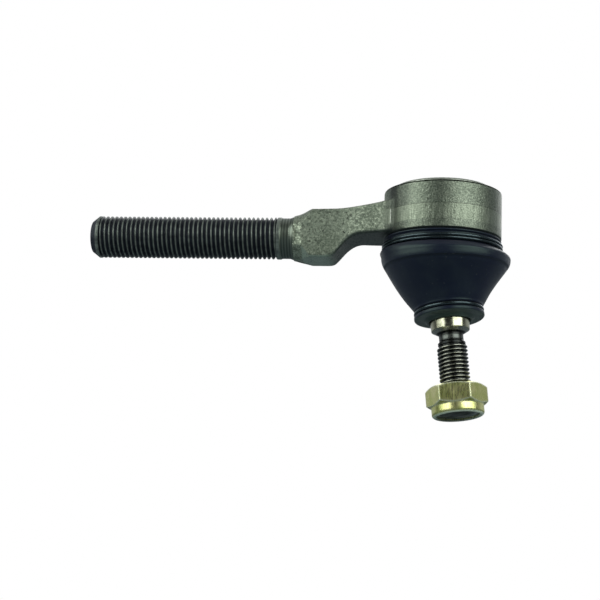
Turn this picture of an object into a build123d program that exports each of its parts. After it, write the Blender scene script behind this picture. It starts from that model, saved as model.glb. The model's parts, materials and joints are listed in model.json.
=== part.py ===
from build123d import *
from math import cos, pi, radians, sin, sqrt, tan
import os

os.makedirs("parts", exist_ok=True)

# Outer tie rod end. Millimetres. The origin is the ball centre, the threaded shank runs along -X,
# the closing plate is up (+Z) and the stud hangs down, leaning as it lies at rest.

# Stud lean at rest, degrees
lean_lengthwise = 6.1
lean_crosswise = 6.0

# Shank, M14 x 1.5
shank_tip_x = -116.7
shank_major_radius = 7.0
shank_root_radius = 6.1
shank_pitch = 1.5
shank_land_length = 1.0
tip_land_length = 0.6
shank_tip_chamfer_radial = 1.7
shank_tip_chamfer_axial = 2.2
shank_thread_end_x = -53.0
shank_neck_radius = 6.75
collar_radius = 7.25
collar_length = 1.3
collar_depth = 0.6

# Common to both threads
crest_drop = 0.04
land_chamfer = 0.4
core_relief = 0.1

# Wrench block and arm
block_outer_x = -48.6
block_inner_x = -38.0
block_top_z = 8.35
block_bottom_z = -7.7
block_half_width = 7.5
block_corner_length = 3.1
block_corner_depth = 1.0
shoulder_end_x = -42.0
shoulder_start_radius = 7.45
shoulder_end_radius = 11.1
shoulder_points = [(-46.6, 8.0), (-44.3, 9.15)]
arm_flare_x = -34.7
arm_rise = 0.3
arm_waist_x = -25.2
arm_waist_half_width = 9.2
arm_waist_bottom_z = -0.1
arm_bend_start_x = -25.8
arm_bend_points = [(-30.0, -1.6), (-32.6, -4.1), (-35.1, -6.9)]
arm_waist_top_z = 9.5
arm_root_x = -12.6
arm_root_bottom_z = 0.3
arm_root_top_z = 12.8
arm_root_half_width = 12.4
arm_edge_radius = 0.95

# Housing
housing_radius = 19.2
housing_bottom_z = -0.4
housing_top_z = 15.2
housing_top_edge = 0.5
housing_bottom_edge = 0.5
cavity_radius = 13.2
opening_angle = 37.2
mouth_flare = 0.8
boss_radius = 16.0
boss_groove_radius = 14.9
boss_groove_bottom_z = -5.3
boss_flare = 0.5
boss_bottom_z = -9.7
cover_ledge_radius = 15.2
cover_ledge_z = 14.3
cover_thickness = 1.6
cover_dome = 0.65
cover_dome_radius = 6.3
dome_slope = 2.6
bend_offset = 0.8
lip_root_radius = 16.9
lip_crown_radius = 15.55
lip_crown_width = 0.9
lip_opening_radius = 13.4
rolled_lip_top_z = 16.8

# Ball and its bearings
ball_radius = 11.0
ball_flat_z = 9.0
bearing_gap = 0.05
shell_gap = 0.02
pad_radius = 13.1
pad_bottom_z = 0.3
pad_top_z = 12.5
pad_opening_radius = 4.8
spring_outer_radius = 12.4
spring_inner_radius = 6.5
spring_thickness = 0.7

# Stud
neck_radius = 4.8
neck_end = -13.4
taper_large_radius = 6.9
taper_small_radius = 6.15
taper_shoulder = -18.3
taper_top = -18.9
taper_bottom = -31.0
taper_chamfer_radius = 4.3
taper_chamfer_bottom = -32.1
relief_radius = 3.9
stud_thread_top = -35.2
stud_major_radius = 4.9
stud_root_radius = 4.15
run_out_radius = 4.4
stud_pitch = 1.25
stud_end_chamfer = 1.1
stud_land_length = 0.7
stud_end = -55.9

# Dust boot
boot_wall = 1.6
bead_inner_radius = 15.05
bead_rim_radius = 19.2
bead_top_z = -0.5
bead_rim_bottom_z = -1.05
bead_groove_radius = 18.65
bead_bottom_z = -4.5
boot_foot = -23.7
boot_foot_radius = 11.15
boot_mouth_radius = 6.6
boot_mouth_outer_radius = 7.35
boot_mouth_bottom = -28.15
lip_groove_top = -24.05
lip_groove_radius = 9.95
lip_flange_radius = 11.3
lip_flange_top = -25.7
lip_flange_bottom = -27.1
lip_flange_edge = 0.4

# Wire rings
upper_clip_radius = 19.2
upper_clip_wire = 0.48
upper_clip_pitch = 1.02
upper_clip_turns = 2
upper_clip_top_z = -1.8
lower_clip_radius = 10.65
lower_clip_wire = 0.63
lower_clip_height = -24.88

# Nut
nut_across_flats = 17.0
nut_turned = -3.2
nut_top = -49.7
hex_bottom = -55.9
nut_bottom = -59.1
nut_corner_slope = 30
nut_bore_radius = 4.95
nut_bore_chamfer = 0.6
crown_radius = 8.3
crown_edge = 0.9
crown_opening_radius = 6.8
insert_outer_radius = 7.3
insert_top = -56.2
insert_bottom = -58.2
insert_chamfer = 0.3

# Directions that follow the lean of the stud
stud_across = Vector(1, 0, 0).rotate(Axis.Y, -lean_lengthwise)
stud_out = Vector(0, -1, 0).rotate(Axis.X, -lean_crosswise).rotate(Axis.Y, -lean_lengthwise)
stud_up = Vector(0, 0, 1).rotate(Axis.X, -lean_crosswise).rotate(Axis.Y, -lean_lengthwise)
stud_side = Plane(origin=(0, 0, 0), x_dir=stud_across, z_dir=stud_out)
stud_axis = Axis((0, 0, 0), stud_up)
lean_direction = Vector(-stud_up.X, -stud_up.Y, 0).normalized()


def stud_level(height):
    """Plane across the stud at a signed height above the ball centre."""
    return Plane(origin=stud_up * height, x_dir=stud_across, z_dir=stud_up)


def threaded_core(start, direction, length, pitch, root_radius, crest_radius):
    """Core cylinder with a right-hand screw-thread ridge that stops half a pitch short of each end."""
    ridge_height = crest_radius - root_radius
    half_root = 0.44 * pitch
    half_crest = 0.07 * pitch
    sunk = 0.15
    with BuildPart() as core:
        with BuildSketch(Plane(origin=start, z_dir=direction)):
            Circle(root_radius)
        extrude(amount=length)
        with BuildLine(mode=Mode.PRIVATE) as path:
            Helix(
                pitch=pitch, height=length - pitch, radius=root_radius,
                center=start + direction * (pitch / 2), direction=direction,
            )
        with BuildSketch(Plane(origin=path.line @ 0, x_dir=direction, z_dir=path.line % 0)):
            with BuildLine():
                Polyline(
                    (-half_root, -sunk), (-half_crest, ridge_height), (half_crest, ridge_height),
                    (half_root, -sunk), close=True,
                )
            make_face()
        sweep(path=path.line, is_frenet=True)
    return core.part


# Housing, arm, wrench block and shank, one forging
cavity_end_x = cavity_radius * cos(radians(opening_angle))
cavity_end_z = -cavity_radius * sin(radians(opening_angle))
cover_top_z = cover_ledge_z + cover_thickness
tip_land_x = shank_tip_x + shank_tip_chamfer_axial
tip_land_end_x = tip_land_x + tip_land_length
last_land_x = shank_thread_end_x - shank_land_length

shank_thread = threaded_core(
    Vector(tip_land_x + 0.3, 0, 0), Vector(1, 0, 0), shank_thread_end_x - tip_land_x - 0.6,
    shank_pitch, shank_root_radius, shank_major_radius - crest_drop,
)

with BuildPart() as forged_body:
    # arm and wrench block: outline from the side, cut to the outline from above
    with BuildSketch(Plane.XZ):
        with BuildLine():
            Line((block_outer_x, block_top_z), (arm_flare_x, block_top_z + arm_rise))
            Spline(
                (arm_flare_x, block_top_z + arm_rise), (arm_waist_x, arm_waist_top_z),
                (arm_root_x, arm_root_top_z),
                tangents=((1, 0.05), (1, 0.55)),
            )
            Polyline(
                (arm_root_x, arm_root_top_z), (arm_root_x, arm_root_bottom_z),
                (arm_bend_start_x, arm_waist_bottom_z),
            )
            Spline(
                (arm_bend_start_x, arm_waist_bottom_z), *arm_bend_points, (block_inner_x, block_bottom_z),
                tangents=((-1, -0.04), (-1, 0)),
            )
            Polyline(
                (block_inner_x, block_bottom_z), (block_outer_x, block_bottom_z),
                (block_outer_x, block_top_z),
            )
        make_face()
    extrude(amount=arm_root_half_width, both=True)
    with BuildSketch(Plane.XY.offset(block_bottom_z - 1)):
        with BuildLine():
            for side in (1, -1):
                Polyline(
                    (block_outer_x, 0), (block_outer_x, side * (block_half_width - block_corner_depth)),
                    (block_outer_x + block_corner_length, side * block_half_width),
                    (arm_flare_x, side * block_half_width),
                )
                Spline(
                    (arm_flare_x, side * block_half_width),
                    (arm_waist_x, side * arm_waist_half_width),
                    (arm_root_x, side * arm_root_half_width),
                    tangents=((1, 0), (1, side * 0.45)),
                )
                Line((arm_root_x, 0), (arm_root_x, side * arm_root_half_width))
        make_face()
    extrude(amount=2 * housing_radius, mode=Mode.INTERSECT)
    fillet(
        [
            edge for edge in forged_body.edges()
            if block_outer_x + 0.01 < edge.center().X < arm_root_x - 0.01
            and edge.bounding_box().size.Z < arm_root_top_z
            and edge.bounding_box().size.Y < block_half_width
            and edge.bounding_box().size.X > block_corner_length / 2
        ],
        arm_edge_radius,
    )

    # shoulder turned on the end of the block
    with BuildSketch(Plane.XY):
        with BuildLine():
            Spline(
                (block_outer_x, shoulder_start_radius), *shoulder_points,
                (shoulder_end_x, shoulder_end_radius),
                tangents=((1, 0.2), (1, 0.9)),
            )
            Polyline(
                (shoulder_end_x, shoulder_end_radius), (shoulder_end_x + 1, 2 * housing_radius),
                (0, 2 * housing_radius), (0, 0), (block_outer_x, 0), (block_outer_x, shoulder_start_radius),
            )
        make_face()
    revolve(axis=Axis.X, mode=Mode.INTERSECT)

    # round housing with the boss that carries the boot
    with BuildSketch(Plane.XZ):
        with BuildLine():
            Polyline(
                (0, boss_bottom_z), (boss_radius - boss_flare, boss_bottom_z),
                (boss_radius, boss_bottom_z + boss_flare),
                (boss_radius, boss_groove_bottom_z - boss_flare),
                (boss_groove_radius, boss_groove_bottom_z), (boss_groove_radius, housing_bottom_z),
                (housing_radius - housing_bottom_edge, housing_bottom_z),
                (housing_radius, housing_bottom_z + housing_bottom_edge),
                (housing_radius, housing_top_z - housing_top_edge),
            )
            RadiusArc(
                (housing_radius, housing_top_z - housing_top_edge),
                (housing_radius - housing_top_edge, housing_top_z), -housing_top_edge,
            )
            Polyline(
                (housing_radius - housing_top_edge, housing_top_z), (lip_root_radius, housing_top_z),
                (lip_crown_radius + lip_crown_width, rolled_lip_top_z - lip_crown_width),
            )
            RadiusArc(
                (lip_crown_radius + lip_crown_width, rolled_lip_top_z - lip_crown_width),
                (lip_crown_radius, rolled_lip_top_z), -1.1 * lip_crown_width,
            )
            Polyline(
                (lip_crown_radius, rolled_lip_top_z), (lip_opening_radius, rolled_lip_top_z - 0.5),
                (lip_opening_radius, cover_ledge_z), (0, cover_ledge_z), (0, boss_bottom_z),
            )
        make_face()
    revolve(axis=Axis.Z)

    # collar, plain neck and the land where the thread ends
    with BuildSketch(Plane.XY):
        with BuildLine():
            Polyline(
                (block_outer_x + collar_depth, 0), (block_outer_x + collar_depth, collar_radius),
                (block_outer_x, collar_radius), (block_outer_x - collar_length, shank_neck_radius),
                (shank_thread_end_x + land_chamfer, shank_neck_radius),
                (shank_thread_end_x, shank_major_radius), (last_land_x, shank_major_radius),
                (last_land_x - land_chamfer, shank_root_radius - core_relief),
                (last_land_x - land_chamfer, 0), (block_outer_x + collar_depth, 0),
            )
        make_face()
    revolve(axis=Axis.X)

    # chamfered tip
    with BuildSketch(Plane.XY):
        with BuildLine():
            Polyline(
                (shank_tip_x, 0), (shank_tip_x, shank_major_radius - shank_tip_chamfer_radial),
                (tip_land_x, shank_major_radius), (tip_land_end_x, shank_major_radius),
                (tip_land_end_x + land_chamfer, shank_root_radius - core_relief),
                (tip_land_end_x + land_chamfer, 0), (shank_tip_x, 0),
            )
        make_face()
    revolve(axis=Axis.X)
    add(shank_thread)

    # room for the ball and its seats, opened below in a flare and above for the closing plate
    with BuildSketch(Plane.XZ):
        with BuildLine():
            Polyline(
                (0, boss_bottom_z - 1), (cavity_end_x + 1.7 * mouth_flare, boss_bottom_z - 1),
                (cavity_end_x + mouth_flare, boss_bottom_z), (cavity_end_x, cavity_end_z),
            )
            CenterArc((0, 0), cavity_radius, -opening_angle, opening_angle)
            Polyline(
                (cavity_radius, 0), (cavity_radius, cover_ledge_z), (cover_ledge_radius, cover_ledge_z),
                (cover_ledge_radius, cover_top_z), (lip_opening_radius, cover_top_z),
                (lip_opening_radius, rolled_lip_top_z + 1), (0, rolled_lip_top_z + 1), (0, boss_bottom_z - 1),
            )
        make_face()
    revolve(axis=Axis.Z, mode=Mode.SUBTRACT)

forged_body.part.label = "forged_body"
export_step(forged_body.part, "parts/forged_body.step")

# Closing plate, pressed from sheet with a shallow dome and held by the rolled lip
with BuildPart() as closing_plate:
    with BuildSketch(Plane.XZ):
        with BuildLine():
            Polyline(
                (0, cover_ledge_z + cover_dome), (cover_dome_radius, cover_ledge_z + cover_dome),
                (cover_dome_radius + dome_slope, cover_ledge_z), (cover_ledge_radius - shell_gap, cover_ledge_z),
                (cover_ledge_radius - shell_gap, cover_top_z),
                (cover_dome_radius + dome_slope + bend_offset, cover_top_z),
                (cover_dome_radius + bend_offset, cover_top_z + cover_dome), (0, cover_top_z + cover_dome),
                (0, cover_ledge_z + cover_dome),
            )
        make_face()
    revolve(axis=Axis.Z)

closing_plate.part.label = "closing_plate"
export_step(closing_plate.part, "parts/closing_plate.step")

# Disc spring that presses the upper pad onto the ball
with BuildPart() as disc_spring:
    with BuildSketch(Plane.XZ):
        with BuildLine():
            Polyline(
                (spring_outer_radius, cover_ledge_z - spring_thickness), (spring_outer_radius, cover_ledge_z),
                (spring_inner_radius, pad_top_z + spring_thickness), (spring_inner_radius, pad_top_z),
                (spring_outer_radius, cover_ledge_z - spring_thickness),
            )
        make_face()
    revolve(axis=Axis.Z)

disc_spring.part.label = "disc_spring"
export_step(disc_spring.part, "parts/disc_spring.step")

# Upper bearing pad, a thick ring cupped to the ball
cup_radius = ball_radius + bearing_gap
pad_inner_bottom = sqrt(cup_radius**2 - pad_bottom_z**2)
pad_inner_top_z = sqrt(cup_radius**2 - pad_opening_radius**2)
with BuildPart() as pressure_pad:
    with BuildSketch(Plane.XZ):
        with BuildLine():
            Polyline(
                (pad_opening_radius, pad_inner_top_z), (pad_opening_radius, pad_top_z),
                (pad_radius, pad_top_z), (pad_radius, pad_bottom_z), (pad_inner_bottom, pad_bottom_z),
            )
            ThreePointArc(
                (pad_inner_bottom, pad_bottom_z),
                (cup_radius * cos(radians(30)), cup_radius * sin(radians(30))),
                (pad_opening_radius, pad_inner_top_z),
            )
        make_face()
    revolve(axis=Axis.Z)

pressure_pad.part.label = "pressure_pad"
export_step(pressure_pad.part, "parts/pressure_pad.step")

# Lower bearing shell
shell_radius = cavity_radius - shell_gap
shell_end = (cos(radians(opening_angle)), -sin(radians(opening_angle)))
with BuildPart() as ball_seat:
    with BuildSketch(Plane.XZ):
        with BuildLine():
            CenterArc((0, 0), cup_radius, -opening_angle, opening_angle)
            Line((cup_radius, 0), (shell_radius, 0))
            CenterArc((0, 0), shell_radius, -opening_angle, opening_angle)
            Line(
                (cup_radius * shell_end[0], cup_radius * shell_end[1]),
                (shell_radius * shell_end[0], shell_radius * shell_end[1]),
            )
        make_face()
    revolve(axis=Axis.Z)

ball_seat.part.label = "ball_seat"
export_step(ball_seat.part, "parts/ball_seat.step")

# Ball stud: ball, neck, taper, relief and M10 x 1.25 thread
ball_neck_height = -sqrt(ball_radius**2 - neck_radius**2)
ball_flat_radius = sqrt(ball_radius**2 - ball_flat_z**2)
upper_land_end = stud_thread_top - stud_land_length
run_out_top = stud_thread_top + run_out_radius - relief_radius
end_land_start = stud_end + stud_end_chamfer
end_land_end = end_land_start + stud_land_length

stud_thread = threaded_core(
    stud_up * end_land_start, stud_up, upper_land_end - end_land_start + 0.2,
    stud_pitch, stud_root_radius, stud_major_radius - crest_drop,
)

with BuildPart() as ball_stud:
    with BuildSketch(stud_side):
        with BuildLine():
            Line((0, ball_flat_z), (ball_flat_radius, ball_flat_z))
            ThreePointArc((ball_flat_radius, ball_flat_z), (ball_radius, 0), (neck_radius, ball_neck_height))
            Polyline(
                (neck_radius, ball_neck_height), (neck_radius, neck_end),
                (taper_large_radius, taper_shoulder), (taper_large_radius, taper_top),
                (taper_small_radius, taper_bottom), (taper_chamfer_radius, taper_chamfer_bottom),
                (relief_radius, taper_chamfer_bottom - 0.3), (relief_radius, run_out_top),
                (run_out_radius, stud_thread_top), (run_out_radius, upper_land_end),
                (stud_root_radius - core_relief, upper_land_end - 0.3), (0, upper_land_end - 0.3),
                (0, ball_flat_z),
            )
        make_face()
    revolve(axis=stud_axis)
    with BuildSketch(stud_side):
        with BuildLine():
            Polyline(
                (0, stud_end), (stud_major_radius - stud_end_chamfer, stud_end),
                (stud_major_radius, end_land_start), (stud_major_radius, end_land_end),
                (stud_root_radius - core_relief, end_land_end + 0.3), (0, end_land_end + 0.3),
                (0, stud_end),
            )
        make_face()
    revolve(axis=stud_axis)
    add(stud_thread)

ball_stud.part.label = "ball_stud"
export_step(ball_stud.part, "parts/ball_stud.step")

# Dust boot: bead in the boss groove, bulge and cone, thick lip with a sealing mouth round the stud.
# Each ring: share of the stud's lean, height, shift towards the lean, radius
boot_rings = [
    (0.0, bead_bottom_z, 0.0, bead_groove_radius),
    (0.02, -4.75, 0.5, 19.6),
    (0.05, -5.3, 1.1, 20.45),
    (0.1, -6.3, 1.5, 20.95),
    (0.16, -7.7, 1.75, 21.0),
    (0.25, -9.4, 2.0, 20.5),
    (0.38, -11.5, 2.1, 19.35),
    (0.62, -16.2, 2.2, 16.2),
    (0.9, -21.2, 2.7, 12.75),
]
boot_levels = []
for share, height, shift, radius in boot_rings:
    middle = Vector(0, 0, height) + lean_direction * shift
    facing = Vector(0, 0, 1) * (1 - share) + stud_up * share
    boot_levels.append((Plane(origin=middle, x_dir=(1, 0, 0), z_dir=facing), radius))
boot_levels.append((Plane(origin=stud_up * boot_foot, x_dir=(1, 0, 0), z_dir=stud_up), boot_foot_radius))

with BuildPart() as dust_boot:
    for level, radius in boot_levels:
        with BuildSketch(level):
            Circle(radius)
    loft(ruled=True)
    for level, radius in boot_levels:
        with BuildSketch(level):
            Circle(radius - boot_wall)
    loft(ruled=True, mode=Mode.SUBTRACT)
    with BuildSketch(Plane.XZ):
        with BuildLine():
            Polyline(
                (bead_inner_radius, bead_top_z), (bead_rim_radius, bead_top_z),
                (bead_rim_radius, bead_rim_bottom_z), (bead_groove_radius, bead_rim_bottom_z - 0.15),
                (bead_groove_radius, bead_bottom_z), (bead_groove_radius - 0.3, bead_bottom_z - 0.15),
                (bead_groove_radius - boot_wall, bead_bottom_z - 0.15), (bead_inner_radius, bead_bottom_z),
                (bead_inner_radius, bead_top_z),
            )
        make_face()
    revolve(axis=Axis.Z)
    with BuildSketch(stud_side):
        with BuildLine():
            Polyline(
                (boot_foot_radius - boot_wall, boot_foot), (boot_foot_radius, boot_foot),
                (lip_groove_radius, lip_groove_top), (lip_groove_radius, lip_flange_top),
                (lip_flange_radius, lip_flange_top), (lip_flange_radius, lip_flange_bottom + lip_flange_edge),
                (lip_flange_radius - lip_flange_edge, lip_flange_bottom),
                (boot_mouth_outer_radius + 0.6, lip_flange_bottom),
                (boot_mouth_outer_radius, boot_mouth_bottom), (boot_mouth_radius, boot_mouth_bottom),
                (boot_mouth_radius + 0.3, boot_foot - boot_wall), (boot_foot_radius - boot_wall, boot_foot),
            )
        make_face()
    revolve(axis=stud_axis)

dust_boot.part.label = "dust_boot"
export_step(dust_boot.part, "parts/dust_boot.step")

# Two-turn wire ring on the boot's upper bead; its ends lie under the arm
with BuildPart() as upper_boot_clip:
    with BuildLine() as coil:
        Helix(
            pitch=upper_clip_pitch, height=upper_clip_turns * upper_clip_pitch, radius=upper_clip_radius,
            center=(0, 0, upper_clip_top_z - upper_clip_turns * upper_clip_pitch), direction=(0, 0, 1),
        )
    with BuildSketch(Plane(origin=coil.line @ 0, z_dir=coil.line % 0)):
        Circle(upper_clip_wire)
    sweep(path=coil.line, is_frenet=True)

turned_clip = upper_boot_clip.part.rotate(Axis.Z, 180)
turned_clip.label = "upper_boot_clip"
export_step(turned_clip, "parts/upper_boot_clip.step")

# Wire ring in the groove of the boot's lip
with BuildPart() as lower_boot_clip:
    with BuildSketch(stud_side):
        with BuildLine():
            CenterArc((lower_clip_radius, lower_clip_height), lower_clip_wire, 0, 360)
        make_face()
    revolve(axis=stud_axis)

lower_boot_clip.part.label = "lower_boot_clip"
export_step(lower_boot_clip.part, "parts/lower_boot_clip.step")

# Lock nut: hexagon with a round crown that holds the insert
flat_radius = nut_across_flats / 2
corner_radius = flat_radius / cos(pi / 6)
corner_drop = (corner_radius - flat_radius + 0.3) * tan(radians(nut_corner_slope))
with BuildPart() as lock_nut:
    with BuildSketch(stud_level(nut_top)):
        RegularPolygon(radius=flat_radius, side_count=6, major_radius=False, rotation=nut_turned)
    extrude(amount=nut_top - nut_bottom, dir=-stud_up)
    with BuildSketch(stud_side):
        with BuildLine():
            Polyline(
                (nut_bore_radius + nut_bore_chamfer, nut_top), (flat_radius - 0.2, nut_top),
                (corner_radius + 0.1, nut_top - corner_drop), (corner_radius + 0.1, hex_bottom + 0.8),
                (flat_radius - 0.1, hex_bottom), (crown_radius, hex_bottom - 0.2),
                (crown_radius, nut_bottom + crown_edge),
            )
            RadiusArc(
                (crown_radius, nut_bottom + crown_edge), (crown_radius - crown_edge, nut_bottom), crown_edge
            )
            Polyline(
                (crown_radius - crown_edge, nut_bottom), (crown_opening_radius + 0.3, nut_bottom),
                (crown_opening_radius, nut_bottom + 0.3), (crown_opening_radius, insert_bottom),
                (insert_outer_radius, insert_bottom), (insert_outer_radius, insert_top),
                (nut_bore_radius, insert_top), (nut_bore_radius, nut_top - nut_bore_chamfer),
                (nut_bore_radius + nut_bore_chamfer, nut_top),
            )
        make_face()
    revolve(axis=stud_axis, mode=Mode.INTERSECT)

lock_nut.part.label = "lock_nut"
export_step(lock_nut.part, "parts/lock_nut.step")

# Locking insert
with BuildPart() as nut_insert:
    with BuildSketch(stud_side):
        with BuildLine():
            Polyline(
                (nut_bore_radius, insert_top), (insert_outer_radius, insert_top),
                (insert_outer_radius, insert_bottom), (nut_bore_radius + insert_chamfer, insert_bottom),
                (nut_bore_radius, insert_bottom + insert_chamfer), (nut_bore_radius, insert_top),
            )
        make_face()
    revolve(axis=stud_axis)

nut_insert.part.label = "nut_insert"
export_step(nut_insert.part, "parts/nut_insert.step")
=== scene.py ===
import json
import math

import bmesh
import bpy
from mathutils import Matrix, Quaternion, Vector


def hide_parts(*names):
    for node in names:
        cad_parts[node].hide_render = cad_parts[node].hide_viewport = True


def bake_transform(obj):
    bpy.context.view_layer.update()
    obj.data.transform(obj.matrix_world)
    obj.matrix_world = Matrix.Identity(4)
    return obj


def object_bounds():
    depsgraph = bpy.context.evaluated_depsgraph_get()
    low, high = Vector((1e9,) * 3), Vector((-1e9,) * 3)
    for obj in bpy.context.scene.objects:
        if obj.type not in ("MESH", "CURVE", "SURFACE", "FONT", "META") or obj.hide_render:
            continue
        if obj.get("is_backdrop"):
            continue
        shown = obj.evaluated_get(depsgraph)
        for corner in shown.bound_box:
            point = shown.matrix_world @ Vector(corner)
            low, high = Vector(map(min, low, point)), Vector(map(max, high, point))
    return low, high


MM = 0.001

# stations of the forging in mm: x along the shank and arm, z up the housing
THREAD_END = (-52.6, -53.2)
NECK_END = (-48.4, -48.7)
BLOCK_UNDERSIDE = (-45.6, -45.2)
BLOCK_TO_ARM = (-38, -34)
ARM_TO_HOUSING = (-18.5, -15.5)
BAND_SIDE = (-21, -17)
BAND_BOTTOM = (2.4, 2.9)
BAND_TOP = (7.7, 7.5)
BAND_LINE = 7.65
NICK_PLACE = 16.4
LIP_BOTTOM = (15.15, 15.25)

# distances down the stud's axis from the ball's centre, in mm
BALL_END = (11.5, 10.5)
CONE_END = (31.1, 31.4)
RELIEF_START = (32.9, 33.4)
RELIEF_END = (34.6, 34.0)
CROWN_END = (58.6, 58.95)
BOOT_UNDERSIDE = (26.8, 27.0)

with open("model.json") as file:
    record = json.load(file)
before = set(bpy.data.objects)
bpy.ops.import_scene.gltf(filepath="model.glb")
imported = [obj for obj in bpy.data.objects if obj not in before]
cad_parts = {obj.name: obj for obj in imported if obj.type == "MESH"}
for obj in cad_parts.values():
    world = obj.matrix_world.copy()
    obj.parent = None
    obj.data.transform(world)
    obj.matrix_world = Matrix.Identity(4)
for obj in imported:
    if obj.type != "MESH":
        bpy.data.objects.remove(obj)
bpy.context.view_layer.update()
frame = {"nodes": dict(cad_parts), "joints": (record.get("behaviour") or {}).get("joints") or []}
joints = {joint["name"]: joint for joint in frame["joints"]}
stud_up = Vector(joints["stud_spin"]["axis"]).normalized()
lean = Vector((0, 0, 1)).rotation_difference(stud_up)
lean_direction = Vector((-stud_up.x, -stud_up.y, 0)).normalized()


# ---------------------------------------------------------------- node helpers

class Nodes:
    """Small helper that adds and links shader nodes of one material."""

    def __init__(self, name):
        self.material = bpy.data.materials.new(name)
        self.material.use_nodes = True
        self.tree = self.material.node_tree
        self.tree.nodes.clear()
        self.shader = self.add("ShaderNodeBsdfPrincipled")
        output = self.add("ShaderNodeOutputMaterial")
        self.tree.links.new(self.shader.outputs[0], output.inputs["Surface"])
        self.place = self.add("ShaderNodeTexCoord").outputs["Object"]

    def add(self, kind, **settings):
        node = self.tree.nodes.new(kind)
        for key, value in settings.items():
            setattr(node, key, value)
        return node

    def put(self, socket, value):
        """Links a socket, or sets a number or a colour."""
        if isinstance(value, bpy.types.NodeSocket):
            self.tree.links.new(value, socket)
        elif isinstance(value, (tuple, list)) and len(value) == 3 and len(socket.default_value) == 4:
            socket.default_value = (*value, 1.0)
        else:
            socket.default_value = value

    def math(self, operation, first, second=0.0, third=0.0, clamp=False):
        node = self.add("ShaderNodeMath", operation=operation, use_clamp=clamp)
        for socket, value in zip(node.inputs, (first, second, third)):
            self.put(socket, value)
        return node.outputs[0]

    def noise(self, size, detail=3.0, roughness=0.55, stretch=(1, 1, 1), place=None):
        """Noise between 0 and 1 whose features are about size metres wide."""
        mapping = self.add("ShaderNodeMapping")
        self.put(mapping.inputs["Vector"], place or self.place)
        mapping.inputs["Scale"].default_value = [s / size for s in stretch]
        node = self.add("ShaderNodeTexNoise")
        self.put(node.inputs["Vector"], mapping.outputs[0])
        node.inputs["Scale"].default_value = 1.0
        node.inputs["Detail"].default_value = detail
        node.inputs["Roughness"].default_value = roughness
        return node.outputs["Fac"]

    def span(self, value, low, high, to_low=0.0, to_high=1.0):
        """Maps low..high to to_low..to_high, smoothly and clamped."""
        node = self.add("ShaderNodeMapRange", interpolation_type="SMOOTHSTEP")
        for socket, number in zip(node.inputs, (value, low, high, to_low, to_high)):
            self.put(socket, number)
        return node.outputs[0]

    def zone(self, value, low, high):
        """0 at low and 1 at high, smooth between, both in mm."""
        return self.span(value, low * MM, high * MM)

    def both(self, *masks):
        """Product of masks and numbers."""
        product = masks[0]
        for mask in masks[1:]:
            product = self.math("MULTIPLY", product, mask)
        return product

    def opposite(self, mask):
        return self.math("SUBTRACT", 1.0, mask)

    def mix(self, share, first, second):
        """Mixes two colours."""
        node = self.add("ShaderNodeMix", data_type="RGBA")
        self.put(node.inputs["Factor"], share)
        self.put(node.inputs["A"], first)
        self.put(node.inputs["B"], second)
        return node.outputs["Result"]

    def blend(self, share, first, second):
        """Mixes two numbers."""
        node = self.add("ShaderNodeMix", data_type="FLOAT")
        self.put(node.inputs["Factor"], share)
        self.put(node.inputs["A"], first)
        self.put(node.inputs["B"], second)
        return node.outputs["Result"]

    def axes(self):
        node = self.add("ShaderNodeSeparateXYZ")
        self.put(node.inputs[0], self.place)
        return node.outputs

    def along(self, direction):
        """Distance along a direction from the origin."""
        node = self.add("ShaderNodeVectorMath", operation="DOT_PRODUCT")
        self.put(node.inputs[0], self.place)
        node.inputs[1].default_value = direction
        return node.outputs["Value"]

    def from_axis(self, direction):
        """Distance from an axis through the origin."""
        node = self.add("ShaderNodeVectorMath", operation="CROSS_PRODUCT")
        self.put(node.inputs[0], self.place)
        node.inputs[1].default_value = direction
        length = self.add("ShaderNodeVectorMath", operation="LENGTH")
        self.put(length.inputs[0], node.outputs[0])
        return length.outputs["Value"]

    def edges(self, radius):
        """1 on sharp edges, 0 on plain faces."""
        bevel = self.add("ShaderNodeBevel", samples=6)
        bevel.inputs["Radius"].default_value = radius
        geometry = self.add("ShaderNodeNewGeometry")
        dot = self.add("ShaderNodeVectorMath", operation="DOT_PRODUCT")
        self.put(dot.inputs[0], bevel.outputs[0])
        self.put(dot.inputs[1], geometry.outputs["Normal"])
        return self.span(dot.outputs["Value"], 0.995, 0.85)

    def round_edges(self, radius):
        bevel = self.add("ShaderNodeBevel", samples=6)
        self.put(bevel.inputs["Radius"], radius)
        return bevel.outputs[0]

    def bump(self, height, depth, normal=None):
        """Normal of a height map given as 0..1 and a depth in metres."""
        node = self.add("ShaderNodeBump")
        self.put(node.inputs["Height"], height)
        node.inputs["Distance"].default_value = depth
        if normal is not None:
            self.put(node.inputs["Normal"], normal)
        return node.outputs[0]

    def finish(self, colour, metal, roughness, normal=None, specular=0.5):
        self.put(self.shader.inputs["Base Color"], colour)
        self.put(self.shader.inputs["Metallic"], metal)
        self.put(self.shader.inputs["Roughness"], roughness)
        self.put(self.shader.inputs["Specular IOR Level"], specular)
        if normal is not None:
            self.put(self.shader.inputs["Normal"], normal)
        return self.material


# ---------------------------------------------------------------- materials

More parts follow.
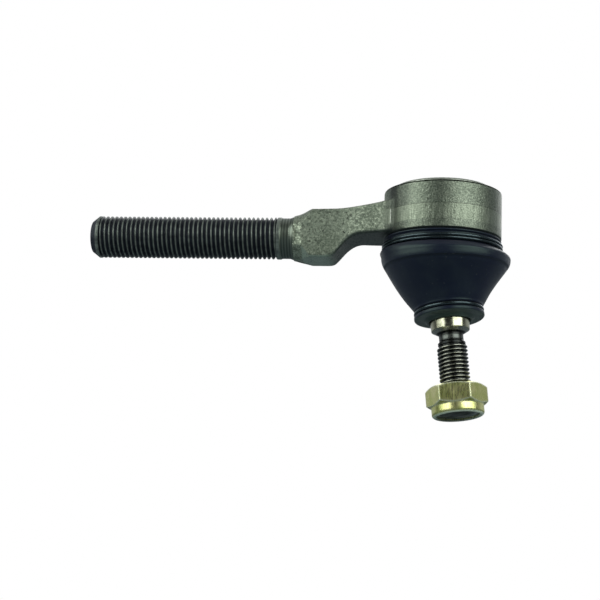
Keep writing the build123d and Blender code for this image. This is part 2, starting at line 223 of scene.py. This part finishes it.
def forging_finish():
    """Shot-blasted forging, black-oxide thread, turned neck and bare rolled lip, told apart by place."""
    n = Nodes("forging_finish")
    x, y, z = n.axes()
    housing = n.zone(x, *ARM_TO_HOUSING)
    on_block = n.zone(x, *reversed(BLOCK_TO_ARM))
    grain = n.blend(housing, n.noise(0.7 * MM, 4, 0.7), n.noise(0.5 * MM, 3, 0.65))
    scale = n.noise(2.2 * MM, 3, 0.6)
    patches = n.noise(9 * MM, 2, 0.5)
    pits = n.noise(1.5 * MM, 2, 0.6)
    forged = n.mix(n.span(patches, 0.35, 0.65), (0.20, 0.235, 0.18), (0.29, 0.33, 0.26))
    forged = n.mix(n.span(grain, 0.48, 0.64, 0, 0.85), forged, (0.55, 0.60, 0.48))
    forged = n.mix(n.span(grain, 0.46, 0.34, 0, 0.75), forged, (0.09, 0.105, 0.085))
    forged = n.mix(n.span(scale, 0.55, 0.75, 0, 0.45), forged, (0.10, 0.118, 0.092))
    mottle = n.both(n.span(n.noise(1.1 * MM, 3, 0.7), 0.50, 0.60), on_block)
    forged = n.mix(n.both(mottle, 0.5), forged, (0.07, 0.082, 0.066))
    pit_mask = n.both(n.span(pits, 0.40, 0.29), n.span(patches, 0.40, 0.56), n.zone(x, -19, -26))
    forged = n.mix(n.both(pit_mask, 0.85), forged, (0.02, 0.024, 0.02))

    # the housing is darker, most of all on its flank beside the arm, where the darkening is painted shade
    forged = n.mix(n.both(housing, 0.6), forged, (0.13, 0.15, 0.125))
    around = n.math("ARCTAN2", y, x)
    flank = n.both(n.span(around, -2.04, -2.22), n.span(around, -3.1, -2.9), n.zone(x, -19.5, -17))
    forged = n.mix(n.both(flank, 0.55), forged, (0.06, 0.068, 0.06))

    # painted shade on the downward faces of the arm, and painted light from below on the underside of the
    # block
    facing = n.add("ShaderNodeSeparateXYZ")
    n.put(facing.inputs[0], n.add("ShaderNodeNewGeometry").outputs["Normal"])
    below = n.span(facing.outputs[2], -0.25, -0.6)
    painted_underside_shade = n.both(below, n.zone(x, *BLOCK_TO_ARM))
    forged = n.mix(n.both(painted_underside_shade, 0.75), forged, (0.035, 0.045, 0.045))
    painted_bounce_light = n.both(below, on_block, n.zone(x, *BLOCK_UNDERSIDE))
    forged = n.mix(n.both(painted_bounce_light, 0.45), forged, (0.52, 0.64, 0.54))

    # trimmed band round the housing, with upright scrape marks and a dark line along its top
    scrape_place = n.add("ShaderNodeCombineXYZ")
    n.put(scrape_place.inputs[0], n.both(around, 19 * MM))
    n.put(scrape_place.inputs[2], n.both(z, 0.08))
    scrapes = n.noise(0.5 * MM, 3, 0.6, place=scrape_place.outputs[0])
    beside_housing = n.zone(x, *BAND_SIDE)
    band = n.both(n.zone(z, *BAND_BOTTOM), n.zone(z, *BAND_TOP), beside_housing)
    trimmed = n.mix(n.span(scrapes, 0.4, 0.7), (0.25, 0.285, 0.22), (0.50, 0.55, 0.44))
    forged = n.mix(n.both(band, 0.45), forged, trimmed)
    from_line = n.math("ABSOLUTE", n.math("SUBTRACT", z, BAND_LINE * MM))
    line = n.both(n.zone(from_line, 0.16, 0.05), beside_housing)
    forged = n.mix(n.both(line, 0.55), forged, (0.06, 0.062, 0.05))

    # painted highlight along the edge where the arm runs into the housing, and painted shade on the metal
    # behind it
    from_nick = n.math("ABSOLUTE", n.math("ADD", x, NICK_PLACE * MM))
    sideways = n.math("ABSOLUTE", y)
    nick_height = n.both(n.zone(z, 2.7, 3.3), n.zone(z, 7.7, 7.2))
    nick_highlight = n.both(n.zone(from_nick, 0.22, 0.10), nick_height, n.zone(sideways, 8.9, 9.4))
    forged = n.mix(n.both(nick_highlight, 0.9), forged, (0.85, 0.88, 0.80))
    shade = n.both(n.zone(x, -16.7, -16.2), n.zone(x, -13.5, -15.2), n.zone(sideways, 8.2, 9.2))
    forged = n.mix(n.both(shade, 0.7), forged, (0.05, 0.057, 0.05))

    # rubbed edges, lightened partly as wear and partly as painted highlight, except where the arm blends
    # into the housing
    root = n.both(n.zone(x, -18.5, -17), n.zone(x, -11, -13))
    edge = n.both(n.edges(0.35 * MM), n.opposite(root))
    colour = n.mix(n.both(edge, 0.35), forged, (0.5, 0.5, 0.43))
    metal = n.blend(housing, n.blend(n.span(grain, 0.4, 0.7), 0.55, 0.8), 0.9)
    rough = n.blend(housing, n.blend(n.span(grain, 0.4, 0.65), 0.5, 0.34), n.blend(grain, 0.42, 0.26))

    # black-oxide thread whose crests are lightened partly as worn steel and partly as painted highlight,
    # and turned neck
    crest = n.zone(n.from_axis((1, 0, 0)), 6.55, 6.95)
    wear = n.noise(1.6 * MM, 3, 0.6, stretch=(0.5, 1, 1))
    oxide = n.mix(n.span(wear, 0.3, 0.7), (0.012, 0.015, 0.026), (0.030, 0.036, 0.050))
    oxide = n.mix(n.both(crest, n.span(wear, 0.25, 0.7, 0.35, 0.9)), oxide, (0.26, 0.29, 0.26))
    shank = n.zone(x, *THREAD_END)
    neck = n.both(n.zone(x, *NECK_END), n.zone(x, *reversed(THREAD_END)))
    turning = n.add("ShaderNodeTexWave", wave_type="BANDS", bands_direction="X")
    n.put(turning.inputs["Vector"], n.place)
    turning.inputs["Scale"].default_value = 330
    turning.inputs["Distortion"].default_value = 0.6
    turning_marks = turning.outputs["Fac"]
    turned = n.mix(n.span(turning_marks, 0.2, 0.9), (0.12, 0.14, 0.12), (0.22, 0.25, 0.21))
    colour = n.mix(shank, colour, oxide)
    colour = n.mix(neck, colour, turned)
    metal = n.blend(shank, metal, 0.45)
    metal = n.blend(neck, metal, 0.9)
    rough = n.blend(shank, rough, n.blend(crest, 0.5, 0.34))
    rough = n.blend(neck, rough, 0.38)

    # bare rolled lip that holds the closing plate, and painted shade as a near-black line round the rim
    # under it
    lip = n.zone(z, *LIP_BOTTOM)
    colour = n.mix(lip, colour, n.mix(n.span(grain, 0.4, 0.7), (0.40, 0.43, 0.38), (0.62, 0.65, 0.58)))
    rim = n.both(n.zone(z, 14.6, 14.75), n.zone(z, 15.35, 15.25))
    colour = n.mix(n.both(rim, 0.95), colour, (0.008, 0.009, 0.008))
    metal = n.both(n.blend(lip, metal, 0.9), n.opposite(rim))
    rough = n.blend(rim, n.blend(lip, rough, 0.38), 1.0)
    shine = n.blend(rim, 0.5, 0.0)

    rough_cast = n.opposite(n.math("MAXIMUM", n.math("MAXIMUM", shank, neck), lip))
    height = n.math("ADD", n.both(grain, 0.5), n.both(scale, 0.5))
    height = n.math("SUBTRACT", height, n.both(pit_mask, 0.6))
    height = n.both(height, rough_cast)
    height = n.math("ADD", height, n.both(neck, turning_marks, 0.06))
    normal = n.bump(height, 0.24 * MM, n.round_edges(n.blend(root, 0.3 * MM, 2.2 * MM)))
    return n.finish(colour, metal, rough, normal, shine)


def stud_finish():
    """Bright ball and plated cone, dark relief and black rolled thread; the crests and the relief are
    lightened with painted highlight.
    """
    n = Nodes("stud_finish")
    down = n.math("MULTIPLY", n.along(stud_up), -1.0)
    fine = n.noise(0.6 * MM, 3, 0.6)
    smear = n.noise(3.0 * MM, 2, 0.5)
    cone = n.mix(n.span(smear, 0.35, 0.65), (0.50, 0.49, 0.36), (0.66, 0.65, 0.50))
    thread = n.mix(n.span(fine, 0.35, 0.65), (0.020, 0.022, 0.024), (0.050, 0.052, 0.048))
    # painted highlight on the thread's crests
    crest = n.zone(n.from_axis(stud_up), 4.45, 4.85)
    thread = n.mix(n.both(crest, 0.85), thread, (0.60, 0.60, 0.53))
    is_thread = n.zone(down, *CONE_END)
    ball = n.zone(down, *BALL_END)
    # painted highlight on the relief between the cone and the thread
    relief = n.both(n.zone(down, *RELIEF_START), n.zone(down, *RELIEF_END))
    thread = n.mix(n.both(relief, 0.4), thread, (0.30, 0.32, 0.30))
    colour = n.mix(is_thread, cone, thread)
    colour = n.mix(ball, colour, (0.62, 0.62, 0.63))
    rough = n.blend(is_thread, n.span(fine, 0.3, 0.7, 0.14, 0.26), n.span(fine, 0.3, 0.7, 0.24, 0.42))
    normal = n.bump(fine, 0.01 * MM, n.round_edges(0.12 * MM))
    return n.finish(colour, 1.0, rough, normal)


def nut_finish():
    """Yellow-passivated zinc with a faint drift of colour, painted highlight on its edges and a crown end
    painted pale as painted light.
    """
    n = Nodes("nut_finish")
    fine = n.noise(0.5 * MM, 3, 0.6, stretch=(1, 1, 0.12))
    drift = n.noise(4.5 * MM, 2, 0.5)
    tone = n.mix(n.span(drift, 0.35, 0.65), (0.76, 0.80, 0.28), (1.0, 0.96, 0.46))
    tone = n.mix(n.span(fine, 0.4, 0.75, 0, 0.35), tone, (0.82, 0.80, 0.42))
    edge = n.edges(1.0 * MM)
    down = n.math("MULTIPLY", n.along(stud_up), -1.0)
    crown_end = n.zone(down, *CROWN_END)
    # painted highlight along the nut's edges
    colour = n.mix(edge, tone, (1.0, 1.0, 0.84))
    # the crown end is painted pale: painted light standing in for light from below
    colour = n.mix(crown_end, colour, (0.86, 0.92, 0.78))
    rough = n.span(fine, 0.3, 0.75, 0.24, 0.38)
    normal = n.bump(fine, 0.02 * MM, n.round_edges(0.6 * MM))
    metal = n.blend(crown_end, n.blend(edge, 0.97, 0.3), 0.1)
    return n.finish(colour, metal, rough, normal)


def rubber_finish():
    """Semi-matte blue-black rubber with a fine skin, a little bloom and a fold under the bulge."""
    n = Nodes("rubber_finish")
    skin = n.noise(0.30 * MM, 3, 0.6)
    bloom = n.noise(6 * MM, 3, 0.55)
    specks = n.noise(0.7 * MM, 1, 0.4)
    colour = n.mix(n.span(bloom, 0.35, 0.7), (0.0036, 0.0040, 0.024), (0.008, 0.010, 0.028))
    colour = n.mix(n.span(specks, 0.73, 0.80, 0, 0.35), colour, (0.16, 0.17, 0.17))
    down = n.math("MULTIPLY", n.along(stud_up), -1.0)
    # painted light on the underside of the boot's lip, mottled with the bloom
    painted_lip_light = n.mix(n.span(bloom, 0.35, 0.7), (0.030, 0.042, 0.040), (0.060, 0.080, 0.070))
    colour = n.mix(n.zone(down, *BOOT_UNDERSIDE), colour, painted_lip_light)
    rough = n.blend(n.span(bloom, 0.3, 0.7), 0.34, 0.44)
    fold = n.bump(n.zone(n.axes()[2], -7.4, -11.0), 0.8 * MM)
    normal = n.bump(n.math("ADD", skin, n.both(bloom, 0.6)), 0.035 * MM, fold)
    n.put(n.shader.inputs["Specular Tint"], (0.72, 1.0, 0.86))
    n.put(n.shader.inputs["Sheen Weight"], 0.06)
    return n.finish(colour, 0.0, rough, normal, 0.5)


def wire_finish():
    """Dark oiled spring wire with a fine mottled tone."""
    n = Nodes("wire_finish")
    fine = n.noise(0.5 * MM, 3, 0.6)
    colour = n.mix(n.span(fine, 0.3, 0.75), (0.055, 0.075, 0.085), (0.10, 0.13, 0.145))
    rough = n.span(fine, 0.3, 0.7, 0.20, 0.27)
    return n.finish(colour, 0.9, rough, n.bump(fine, 0.003 * MM))


def plate_finish():
    """Bare pressed sheet with faint rolling scratches."""
    n = Nodes("plate_finish")
    scratches = n.noise(0.35 * MM, 3, 0.6, stretch=(0.08, 1, 1))
    stains = n.noise(5 * MM, 3, 0.6)
    colour = n.mix(n.span(scratches, 0.35, 0.7), (0.36, 0.37, 0.36), (0.58, 0.59, 0.57))
    colour = n.mix(n.span(stains, 0.55, 0.75, 0, 0.4), colour, (0.22, 0.22, 0.19))
    rough = n.span(scratches, 0.3, 0.7, 0.28, 0.44)
    return n.finish(colour, 0.95, rough, n.bump(scratches, 0.01 * MM, n.round_edges(0.2 * MM)))


def moulded_finish(name, dark, light, roughness):
    """Moulded plastic with a fine grain and slight colour drift."""
    n = Nodes(name)
    grain = n.noise(0.25 * MM, 3, 0.6)
    drift = n.noise(4 * MM, 2, 0.5)
    colour = n.mix(n.span(drift, 0.3, 0.7), dark, light)
    rough = n.span(grain, 0.3, 0.7, roughness - 0.06, roughness + 0.06)
    return n.finish(colour, 0.0, rough, n.bump(grain, 0.012 * MM, n.round_edges(0.15 * MM)))


def dress(node, material):
    """Gives a CAD node one material."""
    mesh = frame["nodes"][node].data
    mesh.materials.clear()
    mesh.materials.append(material)


bearing = moulded_finish("bearing_finish", (0.62, 0.60, 0.52), (0.74, 0.72, 0.64), 0.42)
nylon = moulded_finish("nylon_finish", (0.34, 0.36, 0.38), (0.48, 0.50, 0.52), 0.38)
plate = plate_finish()
wire = wire_finish()
rubber = rubber_finish()
dress("forged_body", forging_finish())
dress("closing_plate", plate)
dress("disc_spring", plate)
dress("pressure_pad", bearing)
dress("ball_seat", bearing)
dress("ball_stud", stud_finish())
dress("upper_boot_clip", wire)
dress("lower_boot_clip", wire)
dress("lock_nut", nut_finish())
dress("nut_insert", nylon)


# ---------------------------------------------------------------- dust boot

# radii and heights of the boot's rings, in mm
AROUND = 160
WALL = 1.6
BEAD_TOP = -0.5
CLIP_GROOVE = 18.62
BULGE = ((16.16, -7.1), 4.77)
CONE_TOP = (20.09, -9.8)
SPLIT = -15.2
CONE_FOOT = (11.15, -23.5)
LIP_GROOVE = ((10.65, -24.88), 0.71)
FLANGE = 11.3
BEND = (-4.6, -23.5)
TURN = (-4.5, -23.1)
LEAN_SHIFT = 1.7
SAME_POINT = 1e-4


def arc_points(centre, radius, start, end, count):
    """Points of an arc in (radius, height), angles in degrees."""
    points = []
    for step in range(count + 1):
        angle = math.radians(start + (end - start) * step / count)
        points.append((centre[0] + radius * math.cos(angle), centre[1] + radius * math.sin(angle)))
    return points


def line_points(first, last, count):
    """Evenly spaced points of a straight line, both ends included."""
    return [
        (
            first[0] + (last[0] - first[0]) * step / count,
            first[1] + (last[1] - first[1]) * step / count,
        )
        for step in range(count + 1)
    ]


def joined(*runs):
    """Runs of points put end to end, without doubled points."""
    points = []
    for run in runs:
        for point in run:
            if not points or (Vector(point) - Vector(points[-1])).length > SAME_POINT:
                points.append(point)
    return points


def eased(value, low, high):
    """0 at low, 1 at high, smooth between."""
    share = min(1.0, max(0.0, (value - low) / (high - low)))
    return share * share * (3 - 2 * share)


def boot_ring_place(height):
    """Turn and sideways shift of the boot at a height in mm, from the housing's axis over to the stud's."""
    turn = Quaternion().slerp(lean, eased(height, *TURN))
    shift = LEAN_SHIFT * eased(height, -4.4, -7.0) * (1 - eased(height, -8.6, -21.0))
    return turn, lean_direction * shift * MM


def turned_skin(name, outline):
    """Skin of a closed (radius, height) outline in mm, on an axis that leans over to the stud's."""
    mesh = bpy.data.meshes.new(name)
    skin = bmesh.new()
    rings = []
    seams = []
    if (Vector(outline[0]) - Vector(outline[-1])).length < SAME_POINT:
        outline = outline[:-1]
    for radius, height in outline:
        turn, shift = boot_ring_place(height)
        ring = []
        for step in range(AROUND):
            angle = 2 * math.pi * step / AROUND
            point = Vector((radius * math.cos(angle), radius * math.sin(angle), height)) * MM
            ring.append(skin.verts.new(turn @ point + shift))
        rings.append(ring)
        if height == SPLIT:
            seams.append(ring)
    for lower, upper in zip(rings, rings[1:] + rings[:1]):
        for step in range(AROUND):
            after = (step + 1) % AROUND
            skin.faces.new((lower[step], lower[after], upper[after], upper[step]))
    for ring in seams:
        for step in range(AROUND):
            skin.edges.get((ring[step], ring[(step + 1) % AROUND])).smooth = False
    bmesh.ops.recalc_face_normals(skin, faces=skin.faces)
    skin.to_mesh(mesh)
    skin.free()
    mesh.polygons.foreach_set("use_smooth", [True] * len(mesh.polygons))
    piece = bpy.data.objects.new(name, mesh)
    bpy.context.scene.collection.objects.link(piece)
    mesh.materials.append(rubber)
    return piece


def cone_radius(height):
    """Outer radius of the boot's cone at a height in mm."""
    share = (height - CONE_TOP[1]) / (CONE_FOOT[1] - CONE_TOP[1])
    return CONE_TOP[0] + (CONE_FOOT[0] - CONE_TOP[0]) * share


upper_outside = joined(
    arc_points((15.45, -0.8), 0.3, 180, 90, 4),
    line_points((15.45, BEAD_TOP), (18.7, BEAD_TOP), 3),
    arc_points((18.8, -0.85), 0.35, 90, -60, 8),
    line_points((18.75, -1.2), (18.66, -1.25), 1),
    line_points((CLIP_GROOVE, -1.3), (CLIP_GROOVE, -4.0), 6),
    arc_points((19.02, -4.08), 0.4, 180, 265, 4),
    arc_points((18.85, -6.45), 2.0, 86, 14, 14),
    arc_points(*BULGE, 13.5, -34.5, 16),
    line_points(CONE_TOP, (cone_radius(SPLIT), SPLIT), 6),
)
upper_inside = joined(
    line_points((cone_radius(SPLIT) - WALL, SPLIT), (CONE_TOP[0] - WALL, CONE_TOP[1]), 6),
    arc_points((17.1, -6.9), 2.3, -30, 85, 12),
    line_points((17.1, -4.55), (15.3, -4.5), 2),
    line_points((15.15, -4.3), (15.15, -0.8), 4),
)
boot_upper = turned_skin("boot_upper", upper_outside + upper_inside)

lower_outside = joined(
    line_points((cone_radius(SPLIT), SPLIT), CONE_FOOT, 14),
    arc_points((10.65, -23.6), 0.5, 0, -75, 6),
    arc_points(*LIP_GROOVE, 100, 260, 10),
    arc_points((10.85, -26.13), 0.45, 100, 0, 6),
    line_points((FLANGE, -26.2), (FLANGE, -26.6), 2),
    arc_points((10.85, -26.62), 0.45, 0, -85, 6),
    line_points((10.8, -27.08), (8.3, -27.13), 4),
    line_points((8.0, -27.25), (7.45, -27.8), 3),
    arc_points((7.03, -27.82), 0.33, -10, -175, 8),
)
lower_inside = joined(
    line_points((6.7, -27.7), (6.95, -25.4), 4),
    arc_points((8.0, -24.55), 1.15, 200, 100, 6),
    line_points((9.0, -23.4), (cone_radius(SPLIT) - WALL, SPLIT), 12),
)
boot_lower = turned_skin("boot_lower", lower_outside + lower_inside)

for piece, upper_body, lower_body, start, end in (
    (boot_upper, "housing", "boot", BEND[0], SPLIT),
    (boot_lower, "boot", "boot_lip", SPLIT, BEND[1]),
):
    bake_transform(piece)
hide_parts("dust_boot")
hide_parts("dust_boot")


# ---------------------------------------------------------------- floor, light and camera

FLOOR_HALF = 1.6
FLOOR_GAP = 0.5


def make_floor(height):
    """Pale floor that the camera can look up through from below; it throws little light back up."""
    mesh = bpy.data.meshes.new("floor")
    half = FLOOR_HALF
    mesh.from_pydata(
        [(-half, -half, height), (half, -half, height), (half, half, height), (-half, half, height)],
        [], [(0, 1, 2, 3)],
    )
    floor = bpy.data.objects.new("floor", mesh)
    bpy.context.scene.collection.objects.link(floor)
    n = Nodes("floor_finish")
    speckle = n.noise(4 * MM, 3, 0.6)
    pale = n.mix(speckle, (0.80, 0.80, 0.79), (0.86, 0.86, 0.85))
    path = n.add("ShaderNodeLightPath")
    bounce = n.mix(path.outputs["Is Glossy Ray"], (0.40, 0.48, 0.50), (0.13, 0.16, 0.19))
    n.finish(n.mix(path.outputs["Is Camera Ray"], bounce, pale), 0.0, 0.7)
    clear = n.add("ShaderNodeBsdfTransparent")
    geometry = n.add("ShaderNodeNewGeometry")
    mixed = n.add("ShaderNodeMixShader")
    n.put(mixed.inputs[0], geometry.outputs["Backfacing"])
    n.put(mixed.inputs[1], n.shader.outputs[0])
    n.put(mixed.inputs[2], clear.outputs[0])
    output = next(node for node in n.tree.nodes if node.type == "OUTPUT_MATERIAL")
    n.put(output.inputs["Surface"], mixed.outputs[0])
    mesh.materials.append(n.material)
    floor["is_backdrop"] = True


def make_world():
    """White to the camera; to everything else a white sweep behind the part and darkness in front."""
    world = bpy.data.worlds.new("studio")
    bpy.context.scene.world = world
    world.use_nodes = True
    tree = world.node_tree
    tree.nodes.clear()
    output = tree.nodes.new("ShaderNodeOutputWorld")
    seen = tree.nodes.new("ShaderNodeBackground")
    seen.inputs["Color"].default_value = (1.0, 1.0, 1.0, 1.0)
    lit = tree.nodes.new("ShaderNodeBackground")
    lit.inputs["Color"].default_value = (0.90, 0.96, 1.0, 1.0)
    place = tree.nodes.new("ShaderNodeTexCoord")
    parts = tree.nodes.new("ShaderNodeSeparateXYZ")
    sweep = tree.nodes.new("ShaderNodeMapRange")
    sweep.interpolation_type = "SMOOTHSTEP"
    for name, value in (("From Min", 0.0), ("From Max", 0.6), ("To Min", 0.03), ("To Max", 0.4)):
        sweep.inputs[name].default_value = value
    tree.links.new(place.outputs["Generated"], parts.inputs[0])
    tree.links.new(parts.outputs["Y"], sweep.inputs["Value"])
    tree.links.new(sweep.outputs["Result"], lit.inputs["Strength"])
    path = tree.nodes.new("ShaderNodeLightPath")
    mix = tree.nodes.new("ShaderNodeMixShader")
    tree.links.new(path.outputs["Is Camera Ray"], mix.inputs[0])
    tree.links.new(lit.outputs[0], mix.inputs[1])
    tree.links.new(seen.outputs[0], mix.inputs[2])
    tree.links.new(mix.outputs[0], output.inputs["Surface"])


def area_light(name, place, target, size, power, colour=(1, 1, 1)):
    light = bpy.data.lights.new(name, "AREA")
    light.shape = "RECTANGLE"
    light.size, light.size_y = size
    light.energy = power
    light.color = colour
    lamp = bpy.data.objects.new(name, light)
    lamp.location = place
    lamp.rotation_mode = "QUATERNION"
    lamp.rotation_quaternion = (Vector(target) - Vector(place)).to_track_quat("-Z", "Y")
    bpy.context.scene.collection.objects.link(lamp)
    return lamp


CAMERA_AZIMUTH = 7.2
CAMERA_RISE = 11.0
CAMERA_ROLL = 2.2
SENSOR_WIDTH = 36
LENS = 84.0
BALL_IN_CAMERA = (46.5, 19.6, -457.8)


def make_camera():
    """Camera placed so that the ball centre has a known place in its view; it looks slightly upwards."""
    a = math.radians(CAMERA_AZIMUTH)
    e = math.radians(CAMERA_RISE)
    forward = Vector((-math.sin(a) * math.cos(e), math.cos(a) * math.cos(e), math.sin(e)))
    right = Vector((math.cos(a), math.sin(a), 0))
    up = right.cross(forward)
    roll = Quaternion(forward, -math.radians(CAMERA_ROLL))
    right, up = roll @ right, roll @ up
    axes = Matrix((right, up, -forward)).transposed()
    camera_data = bpy.data.cameras.new("camera")
    camera_data.sensor_width = SENSOR_WIDTH
    camera_data.lens = LENS
    camera = bpy.data.objects.new("camera", camera_data)
    camera.matrix_world = Matrix.Translation(-(axes @ Vector(BALL_IN_CAMERA)) * MM) @ axes.to_4x4()
    bpy.context.scene.collection.objects.link(camera)
    bpy.context.scene.camera = camera
    camera_data.clip_start = 0.01


make_floor(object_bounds()[0].z - FLOOR_GAP * MM)
make_world()
middle = (-0.03, 0, -0.01)
key_size, key_power, key_colour = (0.8, 0.55), 3.4, (0.94, 1.0, 0.93)
area_light("key_left", (-0.62, -0.36, 0.34), middle, key_size, key_power, key_colour)
area_light("key_right", (0.52, -0.48, 0.30), middle, key_size, key_power, key_colour)
area_light("top", (0.0, 0.05, 0.75), middle, (0.8, 0.5), 0.5)
area_light("back", (0.1, 0.6, 0.35), middle, (0.6, 0.4), 1.0)
make_camera()
bpy.context.scene.view_settings.view_transform = "Standard"
